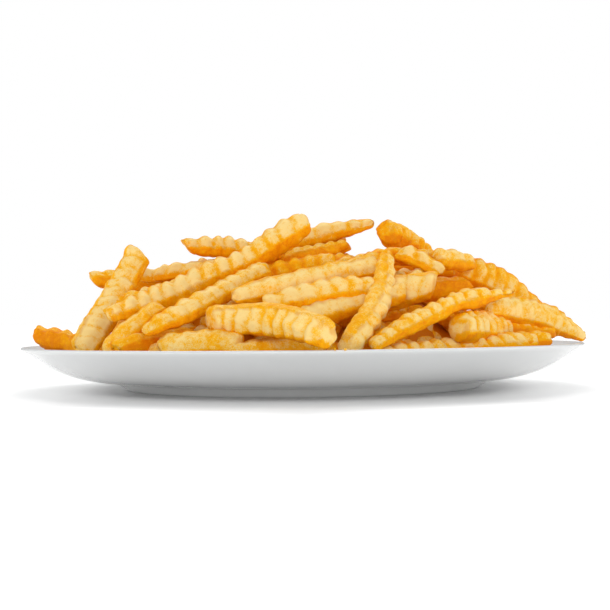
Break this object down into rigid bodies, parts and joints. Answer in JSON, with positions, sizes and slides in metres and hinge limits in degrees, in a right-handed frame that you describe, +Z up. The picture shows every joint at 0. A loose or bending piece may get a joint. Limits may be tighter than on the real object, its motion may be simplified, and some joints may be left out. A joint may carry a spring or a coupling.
{
  "type": "french fries portion",
  "caption": "A heaped portion of crinkle-cut french fries on a round white porcelain dinner plate with a low foot ring.",
  "frame": {"origin": "middle of the plate's foot ring, on the table", "axes": "+Z up along the plate's axis, +X to the right and +Y away from the side that is seen"},
  "size_m": [0.2738, 0.2755, 0.085],
  "materials": {
    "porcelain": "smooth white glaze",
    "fried_potato": "crisp golden fried potato, slightly oily"
  },
  "bodies": {
    "root": {"plate": "porcelain", "fries": "fried_potato"}
  },
  "joints": []
}
